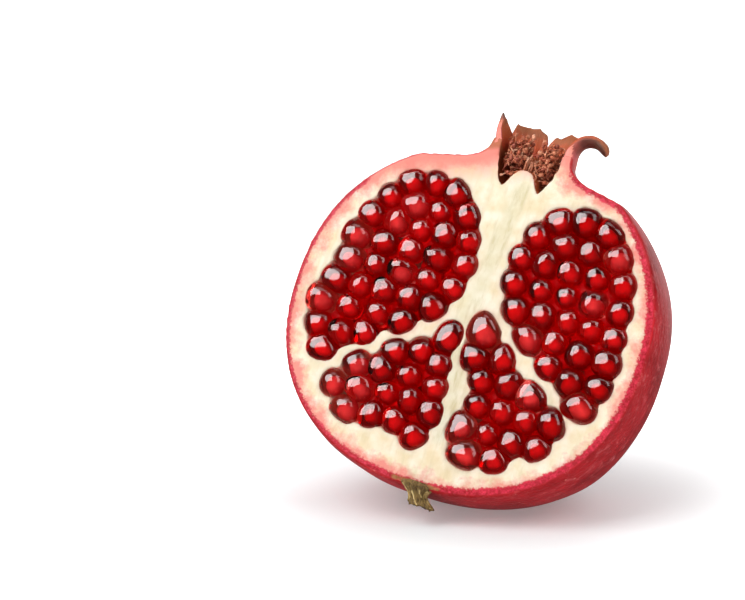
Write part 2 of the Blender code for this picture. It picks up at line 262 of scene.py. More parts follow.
packing = {
    "sacWidth": 6.8,
    # sacs drawn out towards the core: place, extra length and direction
    "long": [((3.8, -0.8), 0.3, 95.0), ((7.8, -5.6), 0.42, 100.0), ((-3.9, -3.3), 0.42, 74.0)],
    "pale": ((-27.0, -23.0), 9.0),  # where the sacs stayed pale, and how far round
    "rowPitch": 5.75,
    "endRows": 0.6,
    "stagger": (0.9, 2.4, 1.7),
    "reach": 4.3,
    "wallReach": 6.5,
    "rounds": 9,
    "wallPoints": 34,
    "curveSteps": 12,
    "proud": (1.2, 2.6),
}


def evenRing(points, count):
    # points at even steps along the closed curve through a few points
    fine = smoothCurve(points, packing["curveSteps"], closed=True)
    lengths = [0.0]
    for k in range(len(fine)):
        lengths.append(lengths[-1] + (fine[k] - fine[k - 1]).length)
    ring = []
    for step in range(count):
        target = lengths[-1] * step / count
        k = max(n for n in range(len(fine)) if lengths[n] <= target)
        share = (target - lengths[k]) / (lengths[k + 1] - lengths[k])
        ring.append(fine[k - 1].lerp(fine[k], share))
    return ring


def sidesOf(ring):
    return zip(ring, ring[1:] + ring[:1])


def ringArea(ring):
    return sum(a.x * b.y - b.x * a.y for a, b in sidesOf(ring)) / 2


def ringMiddle(ring):
    total = Vector((0.0, 0.0))
    for a, b in sidesOf(ring):
        total += (a + b) * (a.x * b.y - b.x * a.y)
    return total / (6 * ringArea(ring))


def wallsOf(ring):
    turn = 1.0 if ringArea(ring) > 0 else -1.0
    walls = []
    for a, b in sidesOf(ring):
        along = (b - a).normalized()
        walls.append(((a + b) / 2, Vector((-along.y, along.x)) * turn))
    return walls


def clipRing(ring, point, keep):
    made = []
    for a, b in sidesOf(ring):
        sideA, sideB = (a - point).dot(keep), (b - point).dot(keep)
        if sideA >= 0:
            made.append(a)
        if sideA * sideB < 0:
            made.append(a.lerp(b, sideA / (sideA - sideB)))
    return made


def cellOf(index, sites, walls):
    site = sites[index]
    reach = packing["reach"]
    cell = [site + reach * Vector((cos(tau * k / 8), sin(tau * k / 8)))
            for k in range(8)]
    for point, inward in walls:
        if (point - site).length < packing["wallReach"]:
            cell = clipRing(cell, point, inward)
    for other, neighbour in enumerate(sites):
        apart = neighbour - site
        if other != index and apart.length <= 2.2 * reach:
            cell = clipRing(cell, (site + neighbour) / 2, -apart.normalized())
    return cell


def placeSacs(ring):
    # rows of sacs across the chamber, then eased apart until they share the room evenly
    walls = wallsOf(ring)
    top, bottom = max(p.y for p in ring), min(p.y for p in ring)
    rowCount = round((top - bottom) / packing["rowPitch"] - packing["endRows"])
    pitch = (top - bottom) / rowCount
    lift, perRow, perSac = packing["stagger"]
    sites, rows = [], []
    for row in range(rowCount):
        height = top - (row + 0.5) * pitch
        crossings = sorted(a.x + (b.x - a.x) * (height - a.y) / (b.y - a.y)
                           for a, b in sidesOf(ring) if (a.y - height) * (b.y - height) < 0)
        for low, high in zip(crossings[::2], crossings[1::2]):
            count = round((high - low) / packing["sacWidth"])
            for step in range(count):
                stagger = lift * sin(perRow * row + perSac * step)
                sites.append(Vector((low + (high - low) * (step + 0.5) / count, height + stagger)))
                rows.append(row)
    for _ in range(packing["rounds"]):
        sites = [ringMiddle(cellOf(k, sites, walls)) for k in range(len(sites))]
    return sites, rows, walls


def tipOf(number, middle):
    # how far a sac's tip stands in front of the cut face
    low, high = packing["proud"]
    return low + (high - low) * (0.5 + 0.5 * sin(2.1 * number + 0.3 * middle.x))


sac = {
    "detail": 4,  # icosphere subdivisions
    "centreDepth": 1.3,  # behind the cut face
    "backReach": 6.8,
    "girth": (4.1, 0.84, 1.18),  # loosest radius, and the spread of sizes
    "roundness": 4.8,  # higher is more faceted
    "fullness": 1.1,
    "neighbours": 10.5,  # how far off a sac still presses
    "lean": 0.12,  # of the face between two sacs
    # share of neighbours that flattened its shoulder, how steeply, and how far out
    "shoulders": (0.4, (0.6, 1.1), (3.7, 4.4)),
    "wall": (0.9, 2.7),  # how far it presses into the pith, and the least it keeps
    "dimples": (0.045, 1 / 2.8),
    "seed": (0.47, 3.4, (0.1, 0.4, -0.3)),  # share of the sac, roundness and shift
}


def longer(directions, axis):
    # how much longer a drawn-out sac is in each direction
    return 1.0 + axis.length * (directions @ np.array([axis.x, 0.0, axis.y])
                                / max(axis.length, 1e-6)) ** 2


def pressed(directions, planes, girth, axis, roundness):
    # radius in each direction of a ball that planes press in on
    normals = np.array([n for n, _ in planes])
    reaches = np.array([r for _, r in planes])
    share = np.clip(directions @ normals.T / reaches, 0.0, None)
    total = (share ** roundness).sum(axis=1) + (girth * longer(directions, axis)) ** -roundness
    return sac["fullness"] / total ** (1.0 / roundness)


def pressPlanes(index, sites, sizes, axes, walls, dice):
    site = sites[index]
    front = sac["centreDepth"] + tipOf(index, site)
    planes = [((0.0, -1.0, 0.0), front), ((0.0, 1.0, 0.0), sac["backReach"])]
    for other, neighbour in enumerate(sites):
        apart = neighbour - site
        if other != index and apart.length < sac["neighbours"]:
            lean = dice.uniform(-sac["lean"], sac["lean"])
            normal = Vector((apart.x, lean * apart.length, apart.y)).normalized()
            way = np.array([apart.x, 0.0, apart.y]) / apart.length
            own, its = (sizes[k] * longer(way, axes[k]) for k in (index, other))
            planes.append((tuple(normal), apart.length * own / (own + its)))
    inPith, least = sac["wall"]
    point, inward = min(walls, key=lambda wall: (wall[0] - site).length)
    reach = (site - point).dot(inward) + inPith
    planes.append(((-inward.x, 0.0, -inward.y), max(reach, least)))
    often, slopes, reaches = sac["shoulders"]
    for normal, _ in planes[2:]:
        if dice.random() < often:
            tilted = (Vector(normal) + Vector((0, -dice.uniform(*slopes), 0))).normalized()
            planes.append((tuple(tilted), dice.uniform(*reaches)))
    return planes


sacLayout = {}
for chamberName, chamberPoints in chambers.items():
    dice = random.Random(chamberName)
    spots, rowOf, wallList = placeSacs(evenRing(chamberPoints, packing["wallPoints"]))
    loosest, small, large = sac["girth"]
    sizes = [dice.uniform(small, large) for _ in spots]
    axes = [Vector((0.0, 0.0)) for _ in spots]
    for place, extra, bearing in packing["long"]:
        nearest = min(range(len(spots)), key=lambda k: (spots[k] - Vector(place)).length)
        if (spots[nearest] - Vector(place)).length < packing["sacWidth"] / 2:
            angle = radians(bearing)
            axes[nearest] = extra * Vector((cos(angle), sin(angle)))
    shapes = [(pressPlanes(k, spots, sizes, axes, wallList, dice), loosest * sizes[k], axes[k])
              for k in range(len(spots))]
    sacLayout[chamberName] = (spots, rowOf, wallList, shapes)
print("sacs laid out:", {name: len(layout[0]) for name, layout in sacLayout.items()})


# rind, pith and calyx tube grew as one piece
husk = {
    "voxel": 0.65,  # mm
    "socketPoints": 150,  # round each chamber
    "socketReach": (-1.1, 2.2, 0.1),  # from outside the chamber's line to inside, and the step
    "socketGap": -0.2,
    "taper": [(-6.0, 1.02), (1.0, 1.0), (8.0, 0.97), (12.0, 0.86), (13.5, 0.66)],
    "restSoftness": 0.3,  # mm, how softly the skin meets its flat spot
    "dents": (0.35, 1 / 14.0),  # mm high, and per mm
    "faceRelief": (0.16, 1 / 2.6),
    "rimRelief": (0.28, 1 / 0.9),
    "sacsWithin": 9.0,  # of a point on the chamber's line
    "attributes": ("skinDepth", "liningDepth", "chamberGap", "neckHeight", "stalkStain",
                   "columnGap", "streakPlace"),
    "streaks": (47.0, 0.22),  # how wide round the fruit, and how squeezed along it
    "neckSlant": 0.28,
    "stain": ((-6.2, -13.0, -40.9), (5.4, -13.0, -40.6)),  # where the stalk was cut through
    "column": [(1.6, -13.0, 36.0), (0.6, -13.0, 24.0), (-0.6, -13.0, 12.0), (-1.6, -13.0, 3.0),
               (1.0, -13.0, -12.0), (1.8, -13.0, -27.0)],
}


def socketRing(name):
    # the chamber's outline, drawn in to follow the sacs that press into it
    sites, _, _, shapes = sacLayout[name]
    ring = evenRing(chambers[name], husk["socketPoints"])
    outermost, deepest, step = husk["socketReach"]
    made = []
    for (_, inward), point in zip(wallsOf(ring), ring):
        reach = outermost
        near = [k for k, site in enumerate(sites) if (site - point).length < husk["sacsWithin"]]
        while reach < deepest:
            spot = point + inward * reach
            if any(insideSac(spot, sites[k], shapes[k]) for k in near):
                break
            reach += step
        made.append(point + inward * reach)
    for _ in range(2):
        made = [(made[k - 1] + made[k] * 2 + made[(k + 1) % len(made)]) / 4
                for k in range(len(made))]
    return made


def insideSac(spot, site, shape):
    away = spot - site
    reach = pressed(np.array([[away.x, 0.0, away.y]]) / away.length, *shape, sac["roundness"])[0]
    return away.length < reach + husk["socketGap"]


def flatRing(ring, centre, size, depth):
    return [(p.x, depth - fruit["cutAt"], p.y)
            for p in (centre + (point - centre) * size for point in ring)]


def nearSegment(point, a, b):
    share = min(1.0, max(0.0, (point - a).dot(b - a) / (b - a).length_squared))
    return (point - a.lerp(b, share)).length


def buildHusk(material):
    outer, hollow = outerOutline(), smoothOutline([], fruit["hollow"])
    outerTree, hollowTree = (BVHTree.FromBMesh(spun(outline)) for outline in (outer, hollow))
    cut = fruit["cutAt"]
    bm = spun(outer + hollow)
    bmesh.ops.bisect_plane(bm, geom=bm.verts[:] + bm.edges[:] + bm.faces[:], dist=0.0001,
                           plane_co=(0, -cut, 0), plane_no=(0, -1, 0), clear_outer=True)
    bmesh.ops.holes_fill(bm, edges=[e for e in bm.edges if e.is_boundary], sides=0)
    down = turned.to_3x3().transposed() @ Vector((0, 0, -1))
    soft = husk["restSoftness"]
    for vert in bm.verts:
        above = fruit["groundBelow"] - (vert.co - fruit["middle"]).dot(down)
        if above < 6 * soft:
            lifted = soft * log1p(exp(above / soft))
            vert.co += down * (above - lifted)
    body = placed("body", meshOf(bm, "body"))
    cutters = []
    for name in chambers:
        ring = socketRing(name)
        centre = ringMiddle(ring)
        bm = bmesh.new()
        loftRings(bm, [flatRing(ring, centre, size, depth) for depth, size in husk["taper"]])
        cutters.append(placed(name, meshOf(bm, name)))
        body.modifiers.new("chamber", "BOOLEAN").object = cutters[-1]
    remesh = body.modifiers.new("even", "REMESH")
    remesh.mode = "VOXEL"
    remesh.voxel_size = husk["voxel"]
    bm = bmesh.new()
    bm.from_object(body, bpy.context.evaluated_depsgraph_get())
    chamberTree = [BVHTree.FromPolygons([v.co for v in c.data.vertices],
                                        [tuple(p.vertices) for p in c.data.polygons])
                   for c in cutters]
    for item in [body] + cutters:
        bpy.data.objects.remove(item)
    print("husk faces:", len(bm.faces))

    bmesh.ops.smooth_vert(bm, verts=bm.verts, factor=0.5, use_axis_x=True, use_axis_y=True,
                          use_axis_z=True)
    bm.normal_update()
    rows = []
    stainFrom, stainTo = (Vector(p) for p in husk["stain"])
    column = [Vector(p) for p in husk["column"]]
    for vert in bm.verts:
        place = vert.co.copy()
        skin = outerTree.find_nearest(place)[3]
        lining = hollowTree.find_nearest(place)[3]
        gap = min(tree.find_nearest(place)[3] for tree in chamberTree)
        above = fruit["groundBelow"] - (place - fruit["middle"]).dot(down)
        face = ease(1.2, 0.2, place.y + cut)  # 1 on the cut face
        dentHeight, dentScale = husk["dents"]
        move = 0.0
        if skin < 1.0 and face < 0.5:
            move = dentHeight * noise(place * dentScale) * ease(0.5, 6.0, above)
        if face > 0.0 and skin > 0.2:
            height, scale = husk["faceRelief"]
            rimHeight, rimScale = husk["rimRelief"]
            rim = ease(2.2, 0.8, skin)
            along = Vector((place.x, place.y, place.z * 0.45))
            move += face * height * noise(along * scale)
            move += face * rim * rimHeight * noise(place * rimScale)
        vert.co = place + vert.normal * move
        if place.y + cut < 0.35:  # the knife left the face flat
            vert.co.y = vert.normal.y * -move - cut
        flat = Vector((place.x - fruit["middle"].x, place.y, 0.0)).normalized()
        wide, squeeze = husk["streaks"]
        rows.append((
            skin,
            lining + 1.2 * ease(0.5, 0.1, place.y + cut),
            gap,
            place.z - husk["neckSlant"] * place.x,
            nearSegment(place, stainFrom, stainTo),
            min(nearSegment(place, a, b) for a, b in zip(column, column[1:])),
            (flat.x * wide, flat.y * wide, place.z * squeeze)))
    mesh = toMesh(bm, "husk_fine")
    for name, values in zip(husk["attributes"], zip(*rows)):
        addAttribute(mesh, name, values)
    finishPiece("husk_rind_and_pith", mesh, [material], ["husk"])


def huskMaterial():
    # pomegranate husk: leathery rind on the outside, dry cream pith where it is cut
    made, add, place = newMaterial("pomegranateHusk")
    skinDepth, lining, chamber, neck, stain, column, streaks = (
        add("Attribute", attribute_name=name).outputs["Vector" if name == "streakPlace" else "Fac"]
        for name in husk["attributes"])
    fibreWay = add("Mapping", {
        0: place, 2: tuple(turned.to_euler("XYZ")), 3: (1.0, 1.0, 4.5)}, vector_type="TEXTURE")
    blotch, broad, mottle, fleck, granule, grain, speckle, streak, fibre = (
        add("TexNoise", {"Vector": way, "Scale": scale, "Detail": detail, "Roughness": rough})
        for way, scale, detail, rough in (
            # the smallest, speckle, is about 1 mm across
            (place, 70.0, 4.0, 0.5), (place, 170.0, 6.0, 0.62), (place, 260.0, 5.0, 0.5),
            (place, 420.0, 4.0, 0.7), (place, 900.0, 3.0, 0.7), (place, 900.0, 3.0, 0.5),
            (place, 1000.0, 3.0, 0.8), (streaks, 0.5, 5.0, 0.65), (fibreWay, 650.0, 4.0, 0.6)))

    # uneven edges: the pink neck, the brown stain where the stalk was cut through, and the rim
    neckAt, stainAt, atRim = (
        add("Math", {0: mottle, 1: much, 2: base}, operation="MULTIPLY_ADD")
        for much, base in ((5.0, neck), (2.6, stain), (2.4, neck)))
    inNeck = add("MapRange", {0: neckAt, 1: 40.5, 2: 47.5})

    # rind: deep red, blotched over centimetres, with fine streaks from crown to stalk; the paler
    # streaks are partly painted highlight
    # lenticels: pale pores about 2.5 mm apart
    pores = add("TexVoronoi", {"Vector": place, "Scale": 420.0})
    poreSize = add("MapRange", {0: grain, 1: 0.4, 2: 0.65, 3: 0.03, 4: 0.2})
    inPore = add("Math", {0: poreSize, 1: pores}, operation="SUBTRACT")
    skin = layered(add, "#8A080E", (
        (blotch, 0.35, 0.68, 1.0, "#BC1A24"),
        # dark lines, and pale pink between them: partly the skin's own paler streaks, partly
        # painted highlight glints
        (streak, 0.46, 0.66, 0.3, "#72040C"), (streak, 0.44, 0.28, 0.35, "#D4404A"),
        (fleck, 0.54, 0.72, 0.55, "#D4686A"), (inPore, 0.0, 0.06, 0.55, "#DE8C80"),
        (neckAt, 44.0, 49.0, 0.75, "#C85A58")))

    # pith: cream, pinker by the rind and paler by the chambers
    uneven = add("MapRange", {0: broad, 1: 0.34, 2: 0.66, 4: 3.5})
    uneven = add("Math", {0: granule, 1: 3.3, 2: uneven}, operation="MULTIPLY_ADD")
    blushDepth = add("Math", {0: skinDepth, 1: uneven}, operation="SUBTRACT")
    # the column between the chambers is a little greener and more fibrous
    inColumn = add("MapRange", {
        0: column, 1: 5.0, 2: 0.5, 4: 0.75}, interpolation_type="SMOOTHSTEP")
    green = add("Mix", {0: mottle, 6: "#C4BA90", 7: "#DEDACA"}, data_type="RGBA")
    # torn fibres run from crown to stalk
    torn = add("MapRange", {0: fibre, 1: 0.5, 2: 0.68, 4: 0.7})
    fibrous = add("MapRange", {0: inColumn, 1: 0.0, 2: 0.75, 3: 0.35, 4: 1.0})
    torn = add("Math", {0: torn, 1: fibrous}, operation="MULTIPLY")
    pith = layered(add, "#DECCA8", (
        (mottle, 0.36, 0.64, 1.0, "#E9DECA"),
        (chamber, 1.6, 0.3, 1.0, "#DED4BE"), (blushDepth, 1.0, -2.2, 1.0, "#DA887C"),
        (inColumn, 0.0, 1.0, 1.0, green), (torn, 0.0, 1.0, 1.0, "#BEB084"),
        (inNeck, 0.0, 1.0, 1.0, "#DA8074")))
    # the cut edge of the rind: a speckled crimson band, 1 mm wide and deeper to the right
    aside = add("VectorMath", {0: place, 1: (0.7, 0.0, -0.7)}, operation="DOT_PRODUCT")
    aside = add("MapRange", {0: aside, 1: -0.06, 2: 0.0})
    paleBand = add("Mix", {0: aside, 6: "#CA4656", 7: "#CC2C44"}, data_type="RGBA")
    band = layered(add, "#8C0816", ((speckle, 0.4, 0.66, 1.0, paleBand),))
    wide = add("Math", {0: aside, 1: 0.9, 2: -0.3}, operation="MULTIPLY_ADD")
    wide = add("Math", {0: inNeck, 1: -2.2, 2: wide}, operation="MULTIPLY_ADD")
    shift = add("Math", {0: speckle, 1: 2.6, 2: wide}, operation="MULTIPLY_ADD")
    bandEdge = add("Math", {0: skinDepth, 1: shift}, operation="SUBTRACT")
    bark = add("Mix", {0: speckle, 6: "#4E3414", 7: "#A8864C"}, data_type="RGBA")
    onSkin = add("MapRange", {0: skinDepth, 1: 0.5, 2: 0.32})
    # the calyx's dried lining
    rust = add("Mix", {0: mottle, 6: "#78301A", 7: "#A8542A"}, data_type="RGBA")
    colour = layered(add, pith, (
        (bandEdge, 0.35, -0.1, 1.0, band), (stainAt, 1.95, 1.3, 0.85, bark),
        (onSkin, 0.0, 1.0, 1.0, skin), (lining, 0.5, 0.2, 1.0, rust),
        (atRim, 47.4, 48.8, 0.8, "#97532F")))
    rough = add("MapRange", {0: onSkin, 3: 0.62, 4: 0.42})
    relief = add("Mix", {0: 0.6, 2: speckle, 3: fibre}, data_type="FLOAT")
    bumps = add("Mix", {0: onSkin, 2: relief, 3: grain}, data_type="FLOAT")
    bump = add("Bump", {"Height": bumps, "Strength": 0.4, "Distance": 0.0006})
    shader = add("BsdfPrincipled", {
        "Base Color": colour, "Roughness": rough, "IOR": 1.45, "Specular IOR Level": 0.3,
        "Normal": bump, "Subsurface Weight": 0.12, "Subsurface Scale": 0.002,
        "Subsurface Radius": (1.0, 0.5, 0.35)})
    add("OutputMaterial", {"Surface": shader})
    return made


buildHusk(huskMaterial())


def addBall(bm, detail, centre, shape, roundness, share=1.0):
    verts = bmesh.ops.create_icosphere(bm, subdivisions=detail, radius=1.0)["verts"]
    directions = np.array([v.co.normalized() for v in verts])
    for vert, direction, length in zip(verts, directions, pressed(directions, *shape, roundness)):
        vert.co = centre + Vector(direction) * float(length) * share
    return verts


def addSac(bm, seeds, site, shape):
    centre = Vector((site.x, sac["centreDepth"] - fruit["cutAt"], site.y))
    verts = addBall(bm, sac["detail"], centre, shape, sac["roundness"])
    height, scale = sac["dimples"]
    for vert in verts:
        vert.co += (vert.co - centre).normalized() * height * noise(vert.co * scale)
    share, roundness, shift = sac["seed"]
    addBall(seeds, 3, centre + Vector(shift), shape, roundness, share)
    return verts


juice = {
    # three ripenesses: absorbed colour, absorption per metre and the tint of the skin
    "ripe": ((0.985, 0.0, 0.06, 1.0), 470.0, "#F88E98"),
    "dark": ((0.955, 0.0, 0.08, 1.0), 680.0, "#E87A8E"),
    "light": ((0.99, 0.12, 0.1, 1.0), 90.0, "#FFBCB2"),
    "roughness": 0.04,
    "ior": 1.37,
    "seed": ("#981420", "#EC4A50"),
    "deep": ("#B4101C", "#D82630"),
}


def juiceMaterial(name):
    # ripe juice sac: a thin wet skin full of clear red juice, darkest where it is seen edge on
    absorbed, density, tint = juice[name]
    made, add = emptied(bpy.data.materials.new(f"{name}JuiceSac"))
    path = add("LightPath")
    body = add("BsdfPrincipled", {
        "Base Color": tint, "Roughness": juice["roughness"], "IOR": juice["ior"],
        "Transmission Weight": 1.0})
    clear = add("BsdfTransparent")  # lamps reach the seeds
    surface = add("MixShader", {0: path.outputs["Is Shadow Ray"], 1: body, 2: clear})
    inside = add("VolumeAbsorption", {"Color": absorbed, "Density": density})
    add("OutputMaterial", {"Surface": surface, "Volume": inside})
    return made


def mottledMaterial(name, tones, scale, detail, finish):
    made, add, place = newMaterial(name)
    patch = add("TexNoise", {"Vector": place, "Scale": scale, "Detail": detail})
    colour = add("Mix", {0: patch, 6: tones[0], 7: tones[1]}, data_type="RGBA")
    shader = add("BsdfPrincipled", {"Base Color": colour, **finish})
    add("OutputMaterial", {"Surface": shader})
    return made


def buildSacs():
    juices = [juiceMaterial(kind) for kind in ("ripe", "dark", "light")]
    # seed coat: woody and stained by the juice round it, which is all it is seen through
    seedFinish = mottledMaterial("seedCoat", juice["seed"], 420.0, 3.0, {"Roughness": 0.5})
    # deeper sacs, out of the light: dark red and still wet
    deepFinish = mottledMaterial("deepJuiceSac", juice["deep"], 300.0, 2.0, {
        "Roughness": 0.12, "IOR": 1.4, "Coat Weight": 0.5, "Coat Roughness": 0.05})
    for name, (sites, rows, walls, shapes) in sacLayout.items():
        dice = random.Random(name)
        seedMesh = bmesh.new()
        for row in sorted(set(rows)):
            bm = bmesh.new()
            for index in [k for k in range(len(sites)) if rows[k] == row]:
                verts = addSac(bm, seedMesh, sites[index], shapes[index])
                ripeness = dice.choices((0, 1, 2), (5, 3, 2))[0]
                pale, reach = packing["pale"]
                if (sites[index] - Vector(pale)).length < reach:
                    ripeness = 2
                for vert in verts:
                    for face in vert.link_faces:
                        face.material_index = ripeness
            node = f"arils_{name}_row_{row + 1}"
            finishPiece(f"juice_sacs_{name}_row_{row + 1}", meshOf(bm, node), juices,
                        [node])
        finishPiece(f"seeds_{name}", meshOf(seedMesh, "seeds"), [seedFinish])
        bm = bmesh.new()
        addDeepSacs(bm, sites, walls, dice)
        finishPiece(f"deep_sacs_{name}", meshOf(bm, "deep"), [deepFinish],
                    [f"aril_bed_{name}"])


deepLayer = {
    "depth": 9.4,
    "radius": 3.9,
    "jitter": 0.5,
    "near": 9.5,  # how close three front sacs stand with one behind them
    "apart": 4.0,
    "wallReach": 9.0,
    "squash": (0.9, 1.05),
    "stretch": 1.15,  # in depth
}


def addDeepSacs(bm, sites, walls, dice):
    # one sac behind each gap that three front sacs leave between them
    spots = []
    for a, b, c in combinations(sites, 3):
        spot = (a + b + c) / 3
        if (max((a - b).length, (a - c).length, (b - c).length) <= deepLayer["near"]
                and all((spot - other).length > deepLayer["apart"] for other in spots)):
            spots.append(spot)
    reach, squash, jitter = (deepLayer[key] for key in ("wallReach", "squash", "jitter"))
    for spot in spots:
        room = min([(spot - point).dot(inward) for point, inward in walls
                    if (point - spot).length < reach], default=reach)
        radius = min(deepLayer["radius"], room + 0.2)
        verts = bmesh.ops.create_icosphere(bm, subdivisions=3, radius=radius)["verts"]
        centre = Vector((spot.x, deepLayer["depth"] + dice.uniform(-jitter, jitter)
                         - fruit["cutAt"], spot.y))
        stretch = Vector((dice.uniform(*squash), deepLayer["stretch"], dice.uniform(*squash)))
        for vert in verts:
            vert.co = centre + vert.co * stretch


buildSacs()
print("sacs made")


lobes = {
    # bearing, width at the foot, length, first lean, curl, taper, power of the taper, thickness,
    # thinning, foot below the rim, how far the tip leans along the rim, and how ragged it is
    "sepal_left": (163, 15.0, 6.4, -8, 2, 0.96, 0.9, 2.5, 0.7, 3.4, -6.2, 0.6),
    "sepal_back_left": (121, 10.0, 7.7, 2, 14, 0.3, 4.0, 1.3, 0.3, 2.6, 0.5, 1.8),
    "sepal_back_right": (64, 10.4, 7.6, 4, 10, 0.3, 4.0, 1.3, 0.3, 2.6, 0.0, 1.8),
    "sepal_curled": (4, 9.4, 13.0, -5, 178, 0.6, 0.6, 2.7, 0.1, 3.0, 0.0, 0.2),
}
lobeMake = {"rings": 26, "points": 28, "rim": (9.9, 47.6), "roundFrom": 0.8,
            "wrinkle": (0.28, 1 / 1.7)}


def lobeMesh(name):
    (bearing, width, length, lean, curl, taper, power, thick, thinning, foot, slant,
     raggedness) = lobes[name]
    rimRadius, rimHeight = lobeMake["rim"]
    outward = onRing(radians(bearing), 1.0, 1.0)
    across = Vector((-outward.y, outward.x, 0.0))
    upward = Vector((0.0, 0.0, 1.0))
    middle = fruit["calyxAxis"] + outward * rimRadius + upward * (rimHeight - foot)
    count = lobeMake["rings"]
    step = (length + foot) / (count - 1)
    rings, along = [], []
    for section in range(count):
        share = max(0.0, (section * step - foot) / length)
        angle = radians(lean + curl * share ** 1.2)
        forward = upward * cos(angle) + outward * sin(angle)
        normal = outward * cos(angle) - upward * sin(angle)
        halfWidth = width / 2 * (1.0 - taper * share ** power)
        halfThick = thick / 2 * (1.0 - thinning * share)
        tip = max(0.0, share - lobeMake["roundFrom"]) / (1.0 - lobeMake["roundFrom"])
        blunt = max(0.06, sqrt(max(0.0, 1.0 - tip * tip)))
        halfWidth, halfThick = halfWidth * blunt, halfThick * blunt
        ring = []
        for corner in range(lobeMake["points"]):
            turn = tau * corner / lobeMake["points"]
            side = halfWidth * copysign(abs(cos(turn)) ** 0.7, cos(turn))
            cup = side * side * 0.05 * (1.0 - 0.6 * share)
            spot = middle + across * (side - slant * share) + normal * (
                halfThick * sin(turn) - cup)
            size, scale = lobeMake["wrinkle"]
            size *= ease(0.0, 0.35, share)
            wrinkle = noise(Vector((spot.x, spot.y, spot.z * 0.5)) * scale
                            + Vector((9, bearing, 0)))
            ragged = noise(spot * 0.6 + Vector((bearing, 0, 0))) * raggedness * share ** 2
            spot += normal * wrinkle * size + forward * ragged
            facing, dryness = sin(turn), share
            if spot.y < 0.1 - fruit["cutAt"]:  # cut with the fruit, so its flesh shows
                spot.y = 0.1 - fruit["cutAt"] + 0.02 * (spot.y + fruit["cutAt"])
                facing = 1.5 + 0.5 * sin(turn)
                dryness = 1.1 * share ** (4.0 - curl / 90.0)
            ring.append(spot)
            along.append((dryness, facing, side))
        rings.append(ring)
        middle = middle + forward * step
    bm = bmesh.new()
    loftRings(bm, rings)
    mesh = meshOf(bm, name)
    addAttribute(mesh, "alongLobe", along)
    return mesh


def lobeMaterial():
    # calyx lobe: living pink flesh at its foot that dries through rust to brown at the tip
    made, add, place = newMaterial("driedCalyx")
    lobe = add("Attribute", attribute_name="alongLobe").outputs["Vector"]
    share, facing, _ = add("SeparateXYZ", {0: lobe}).outputs
    patch = add("TexNoise", {"Vector": place, "Scale": 450.0, "Detail": 5.0, "Roughness": 0.6})
    fibreWay = add("Mapping", {0: lobe, 3: (3.0, 1.0, 2.4)})
    fibre = add("TexNoise", {"Vector": fibreWay, "Scale": 1.5, "Detail": 4.0, "Roughness": 0.65})
    dry = add("Math", {0: patch, 1: 0.5, 2: share}, operation="MULTIPLY_ADD")
    # outside and inside: the calyx's darker outer and paler inner faces, their difference partly
    # painted shade on the curled lobe's underside and painted light on its top
    outside, inside, flesh = (filledRamp(add, dry, stops) for stops in (
        ((0.24, "#C4585A"), (0.44, "#8E3C32"), (0.68, "#541F18"), (1.0, "#3E2418")),
        ((0.16, "#962C10"), (0.48, "#BC4E24"), (0.8, "#B8562C"), (1.0, "#985430")),
        ((0.24, "#DC8276"), (0.44, "#B8684E"), (0.68, "#5E2A1A"), (1.0, "#3E2418"))))
    darker = add("MapRange", {0: fibre, 1: 0.35, 2: 0.7, 3: 0.4, 4: 0.0})
    ripe = add("MapRange", {0: share, 1: 0.05, 2: 0.45})
    darker = add("Math", {0: darker, 1: ripe}, operation="MULTIPLY")
    # the rind's red edge runs up the cut flesh
    edge = add("MapRange", {0: facing, 1: 1.9, 2: 1.99, 4: 0.8})
    edge = add("Math", {0: edge, 1: patch}, operation="MULTIPLY")
    colour = layered(add, inside, (
        (facing, -0.5, 0.15, 1.0, outside), (facing, 0.97, 1.02, 1.0, flesh),
        (darker, 0.0, 1.0, 1.0, "#6E2C12"), (edge, 0.0, 1.0, 1.0, "#A01828")))
    bump = add("Bump", {"Height": fibre, "Strength": 0.6, "Distance": 0.0004})
    shader = add("BsdfPrincipled", {"Base Color": colour, "Roughness": 0.58, "Normal": bump})
    add("OutputMaterial", {"Surface": shader})
    return made


stamens = {
    "count": 125,
    "offset": 4.15,
    "reach": (3.1, 3.9),  # half widths of a tuft
    "heights": (39.4, 52.8),
    "thread": 0.19,  # radius
    "steps": 8,
    "stray": 0.16,  # how far a thread wanders at each step
    "headed": 0.75,  # share of threads with a pollen head
    "head": (0.72, 0.5),  # half length and half width
}
style = {
    "fibres": 9,
    "foot": (0.8, -10.3, 40.6),
    "footSpread": (0.8, 0.7),
    "rise": (2.2, 5.4),
    "thickness": (0.2, 0.38),
}


def addThread(bm, points, radius, sides=4):
    # a tube through points, thinner to its end
    rings = []
    for k, point in enumerate(points):
        way = (points[min(k + 1, len(points) - 1)] - points[max(k - 1, 0)]).normalized()
        frameTurn = way.to_track_quat("Z", "X").to_matrix()
        size = radius * (1.0 - 0.35 * k / len(points))
        rings.append([point + frameTurn @ onRing(tau * n / sides, size, size)
                      for n in range(sides)])
    loftRings(bm, rings)


def shadedMesh(bm, name, shades):
    # one number for each point says how dark its thread is
    mesh = meshOf(bm, name)
    addAttribute(mesh, "shade", shades)
    return mesh


def shadeRamp(add, patch, stops):
    # each thread's own shade, made uneven by a noise
    tone = add("Attribute", attribute_name="shade").outputs["Fac"]
    mixed = add("Math", {0: tone, 1: patch, 2: 0.15}, operation="MULTIPLY_ADD")
    return filledRamp(add, mixed, stops)


